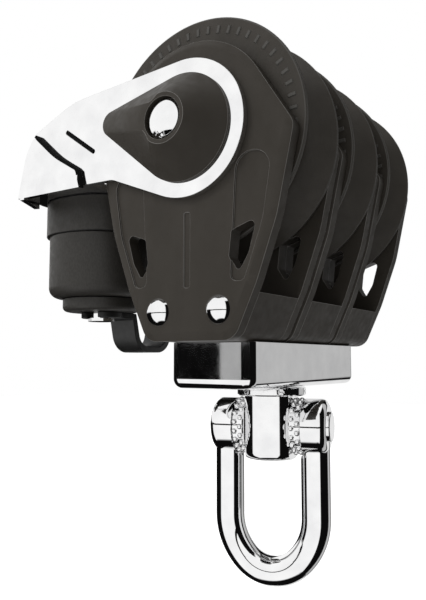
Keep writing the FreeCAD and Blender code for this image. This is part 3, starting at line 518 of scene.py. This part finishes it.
def studio_floor():
    """Pale floor far below the block, which no reflection shows."""
    mesh = bpy.data.meshes.new("floor")
    half, height = FLOOR_SIZE / 2, CAD_BOX[0][2] - FLOOR_DROP
    mesh.from_pydata([(-half, -half, height), (half, -half, height), (half, half, height),
                      (-half, half, height)], [], [(0, 1, 2, 3)])
    floor = bpy.data.objects.new("floor", mesh)
    COLLECTION.objects.link(floor)
    look = Look("pale_floor", Roughness=0.9, Emission_Strength=FLOOR_GLOW)
    look.tint(look.noise(0.6, 2.0), (0.93, 0.93, 0.93), (0.95, 0.95, 0.95))
    look.shader.inputs["Emission Color"].default_value = (1, 1, 1, 1)
    mesh.materials.append(look.material)
    floor.visible_glossy = False
    floor.visible_diffuse = False


# The world's white cards and its soft light. Turns are round from -Y toward +X.
CARD_FROM, CARD_TO = math.radians(-52), math.radians(58)     # card in front
CARD_LOW = math.radians(-60)                                 # the cards' lower edge
TOP_EDGE = math.radians(55)                                  # all is white above this
TENT_FROM, TENT_LOW = math.radians(-140), math.radians(3)    # tent on the left, from here up
SIDE_FROM, SIDE_TO = math.radians(132), math.radians(160)    # card behind on the right
SIDE_GREY = 0.5
BACK_FROM, BACK_TO = math.radians(-10), math.radians(40)     # card behind, round from +Y toward -X
BACK_TOP, BACK_CARD = math.radians(18), 0.8                  # its upper edge and its brightness
CARD_SOFT = math.radians(2)                                  # half the width of an upright edge
LEVEL_SOFT = 0.04                                            # half the height of a level edge
DARK, WHITE = 0.004, 1.05                                    # brightness of the gaps and cards
SOFT_AIM = Vector((-0.72, -0.70, -0.04)).normalized()        # the soft light comes from here
SOFT_LOW, SOFT_HIGH = 0.46, 1.14
BACK_AIM, BACK_LIGHT = Vector((-0.55, 0.82, 0.15)).normalized(), 1.1
LOBE_SIDE, LOBE_MIDDLE = -0.1, 1.0                           # cosines where a lobe is 0 and 1


def studio_world():
    """Pure white to the camera, soft all-round light, and cards with dark gaps to mirrors."""
    world = bpy.data.worlds.new("studio")
    bpy.context.scene.world = world
    world.use_nodes = True
    tree = world.node_tree
    tree.nodes.clear()

    def add(kind, **settings):
        made = tree.nodes.new(kind)
        for key, value in settings.items():
            setattr(made, key, value)
        return made

    def put(value, socket):
        if isinstance(value, (int, float)):
            socket.default_value = value
        else:
            tree.links.new(value, socket)

    def maths(operation, a, b=0.0):
        made = add("ShaderNodeMath", operation=operation)
        put(a, made.inputs[0])
        put(b, made.inputs[1])
        return made.outputs[0]

    def edge(value, low, high):
        """0 below low, 1 above high, and a smooth step between."""
        made = add("ShaderNodeMapRange", interpolation_type="SMOOTHSTEP")
        for key, number in (("From Min", low), ("From Max", high)):
            made.inputs[key].default_value = number
        put(value, made.inputs["Value"])
        return made.outputs["Result"]

    def window(value, low, high):
        """1 between low and high, 0 outside."""
        rise = edge(value, low - CARD_SOFT, low + CARD_SOFT)
        fall = edge(value, high - CARD_SOFT, high + CARD_SOFT)
        return maths("MULTIPLY", rise, maths("SUBTRACT", 1.0, fall))

    def over(angle):
        """1 above this angle over the horizon, 0 below it."""
        return edge(z, math.sin(angle) - LEVEL_SOFT, math.sin(angle) + LEVEL_SOFT)

    def lobe(aim):
        """Broad light from this direction: 1 in its middle, fading to 0 at its side."""
        toward = maths("MULTIPLY", x, aim[0])
        toward = maths("ADD", toward, maths("MULTIPLY", y, aim[1]))
        toward = maths("ADD", toward, maths("MULTIPLY", z, aim[2]))
        return edge(toward, LOBE_SIDE, LOBE_MIDDLE)

    axes = add("ShaderNodeSeparateXYZ")
    tree.links.new(add("ShaderNodeTexCoord").outputs["Generated"], axes.inputs[0])
    x, y, z = axes.outputs
    around = maths("ARCTAN2", x, maths("MULTIPLY", y, -1.0))    # 0 at -Y, positive toward +X
    card = maths("MULTIPLY", window(around, CARD_FROM, CARD_TO), over(CARD_LOW))
    tent = maths("MULTIPLY", window(around, TENT_FROM, CARD_TO), over(TENT_LOW))
    side = maths("MULTIPLY", window(around, SIDE_FROM, SIDE_TO), over(CARD_LOW))
    bright = maths("MAXIMUM", maths("MAXIMUM", card, tent), over(TOP_EDGE))
    bright = maths("MAXIMUM", bright, maths("MULTIPLY", side, SIDE_GREY))
    behind = maths("ARCTAN2", maths("MULTIPLY", x, -1.0), y)    # 0 at +Y, positive toward -X
    low = maths("MULTIPLY", over(CARD_LOW), maths("SUBTRACT", 1.0, over(BACK_TOP)))
    back = maths("MULTIPLY", window(behind, BACK_FROM, BACK_TO), low)
    bright = maths("MAXIMUM", bright, maths("MULTIPLY", back, BACK_CARD))
    mirrored = maths("ADD", maths("MULTIPLY", bright, WHITE - DARK), DARK)
    soft = maths("ADD", maths("MULTIPLY", lobe(SOFT_AIM), SOFT_HIGH - SOFT_LOW), SOFT_LOW)
    soft = maths("ADD", soft, maths("MULTIPLY", lobe(BACK_AIM), BACK_LIGHT))

    path = add("ShaderNodeLightPath")

    def choose(share, a, b):
        """a where share is 0, b where share is 1."""
        kept = maths("MULTIPLY", a, maths("SUBTRACT", 1.0, share))
        return maths("ADD", kept, maths("MULTIPLY", b, share))

    level = choose(path.outputs["Is Glossy Ray"], soft, mirrored)
    level = choose(path.outputs["Is Camera Ray"], level, 1.0)
    background = add("ShaderNodeBackground")
    background.inputs["Color"].default_value = (1, 1, 1, 1)
    tree.links.new(level, background.inputs["Strength"])
    tree.links.new(background.outputs[0], add("ShaderNodeOutputWorld").inputs["Surface"])


FLAG_R = 0.63              # the flags' distance from the swivel's axis
FLAG_LOW, FLAG_HIGH = -0.088, -0.030
FLAG_STEP = 4              # degrees that one flat panel covers, at most
FLAGS = {                  # from and to, in degrees round from -Y, and brightness
    "left_flag": (-52, -31.1, 0.0),
    "grey_flag": (-31.1, -28.6, 0.42),
    "right_flag": (-28.6, 60, 0.0),
}


def flag(name, start, end, brightness):
    """Upright band between two angles round from -Y, which only the polished parts see."""
    steps = max(2, math.ceil(abs(end - start) / FLAG_STEP))
    mesh = bpy.data.meshes.new(name)
    corners, faces = [], []
    for k in range(steps + 1):
        turn = math.radians(start + (end - start) * k / steps)
        for z in (FLAG_LOW, FLAG_HIGH):
            corners.append((FLAG_R * math.sin(turn), -FLAG_R * math.cos(turn), z))
    for k in range(steps):
        faces.append((2 * k, 2 * k + 2, 2 * k + 3, 2 * k + 1))
    mesh.from_pydata(corners, [], faces)
    card = bpy.data.objects.new(name, mesh)
    COLLECTION.objects.link(card)
    look = Look(name + "_cloth", Roughness=1.0, Specular_IOR_Level=0.0,
                Emission_Strength=brightness)
    look.shader.inputs["Emission Color"].default_value = (1, 1, 1, 1)
    look.tint(look.noise(0.02, 2.0), (0.002, 0.002, 0.002), (0.004, 0.004, 0.004))
    mesh.materials.append(look.material)
    card.visible_camera = False
    card.visible_diffuse = False
    card.visible_shadow = False
    card.visible_transmission = False


def soft_lamp(name, place, aim, size, power):
    """Round lamp that no reflection shows."""
    data = bpy.data.lights.new(name, "AREA")
    data.shape = "DISK"
    data.size = size
    data.energy = power
    lamp = bpy.data.objects.new(name, data)
    COLLECTION.objects.link(lamp)
    lamp.location = place
    lamp.rotation_euler = (Vector(aim) - Vector(place)).to_track_quat("-Z", "Y").to_euler()
    lamp.visible_glossy = False


def colours_as_seen():
    """Show white as white, with no film curve."""
    view = bpy.context.scene.view_settings
    view.view_transform = "Standard"
    view.look = "None"


photographer()
studio_floor()
studio_world()
for name, (start, end, brightness) in FLAGS.items():
    flag(name, start, end, brightness)
soft_lamp("key", place=(-0.35, -0.55, 0.45), aim=(-0.02, 0, -0.02), size=0.35, power=1.6)
colours_as_seen()
